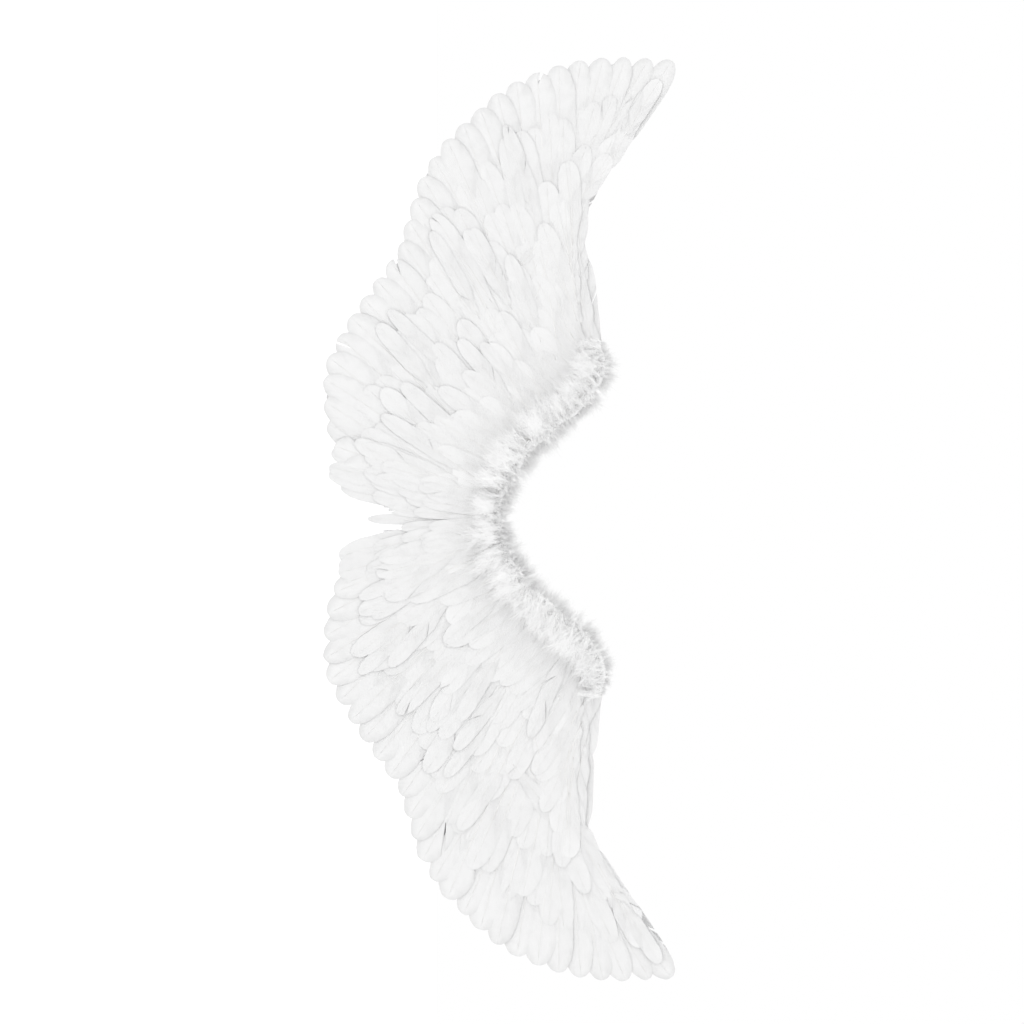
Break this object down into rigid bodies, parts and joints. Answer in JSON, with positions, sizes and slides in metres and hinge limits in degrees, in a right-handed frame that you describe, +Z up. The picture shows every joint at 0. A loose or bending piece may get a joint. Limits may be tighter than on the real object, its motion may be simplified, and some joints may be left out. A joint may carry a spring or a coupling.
{
  "type": "costume wings",
  "caption": "White feather costume wings with a marabou leading edge, hinged so each wing folds back, worn with two elastic arm loops.",
  "frame": {"origin": "middle of the pad face that rests on the wearer's back", "axes": "+Z up as worn, +Y out of the pad face towards the wearer, +X along the span towards the right-hand wing as seen from behind the wearer; the feathered display side faces -Y"},
  "size_m": [1.0048, 0.1285, 0.3848],
  "materials": {
    "feather": "soft white vane, faint silky sheen",
    "down": "fluffy white down",
    "felt": "matt pressed felt",
    "backing": "matt non-woven cloth",
    "binding_tape": "ribbed cotton tape",
    "elastic": "ribbed woven elastic",
    "gummed_tape": "matt cloth tape",
    "foam": "open-cell foam",
    "stiff_sheet": "matt board",
    "spine_plastic": "satin moulded plastic",
    "cap_plastic": "satin moulded plastic",
    "steel": "drawn wire",
    "rivet_steel": "polished rivet heads"
  },
  "bodies": {
    "harness": {"spine_plate": "spine_plastic", "left_hinge_rod": "steel", "right_hinge_rod": "steel", "rod_caps": "cap_plastic", "pad_back": "felt", "pad_foam": "foam", "pad_cover": "felt", "pad_binding": "binding_tape", "left_strap": "elastic", "right_strap": "elastic", "strap_rivets": "rivet_steel", "centre_feathers": "feather", "centre_trim": "down"},
    "left_wing": {"left_hinge_barrels": "steel", "left_frame_wire": "steel", "left_stay_wires": "steel", "left_wire_tapes": "gummed_tape", "left_base_panel": "stiff_sheet", "left_backing_cloth": "backing", "left_flight_feathers": "feather", "left_second_row_feathers": "feather", "left_third_row_feathers": "feather", "left_fourth_row_feathers": "feather", "left_fifth_row_feathers": "feather", "left_back_flight_feathers": "feather", "left_back_middle_feathers": "feather", "left_back_upper_feathers": "feather", "left_lead_edge_feathers": "feather", "left_trim": "down"},
    "right_wing": {"right_hinge_barrels": "steel", "right_frame_wire": "steel", "right_stay_wires": "steel", "right_wire_tapes": "gummed_tape", "right_base_panel": "stiff_sheet", "right_backing_cloth": "backing", "right_flight_feathers": "feather", "right_second_row_feathers": "feather", "right_third_row_feathers": "feather", "right_fourth_row_feathers": "feather", "right_fifth_row_feathers": "feather", "right_back_flight_feathers": "feather", "right_back_middle_feathers": "feather", "right_back_upper_feathers": "feather", "right_lead_edge_feathers": "feather", "right_trim": "down"}
  },
  "joints": [
    {"name": "left_fold", "type": "hinge", "parent": "harness", "child": "left_wing", "pos_m": [-0.016, -0.0173, 0.002], "axis": [0, 0, 1], "range_deg": [0, 85]},
    {"name": "right_fold", "type": "hinge", "parent": "harness", "child": "right_wing", "pos_m": [0.016, -0.0173, 0.002], "axis": [0, 0, -1], "range_deg": [0, 85]}
  ]
}
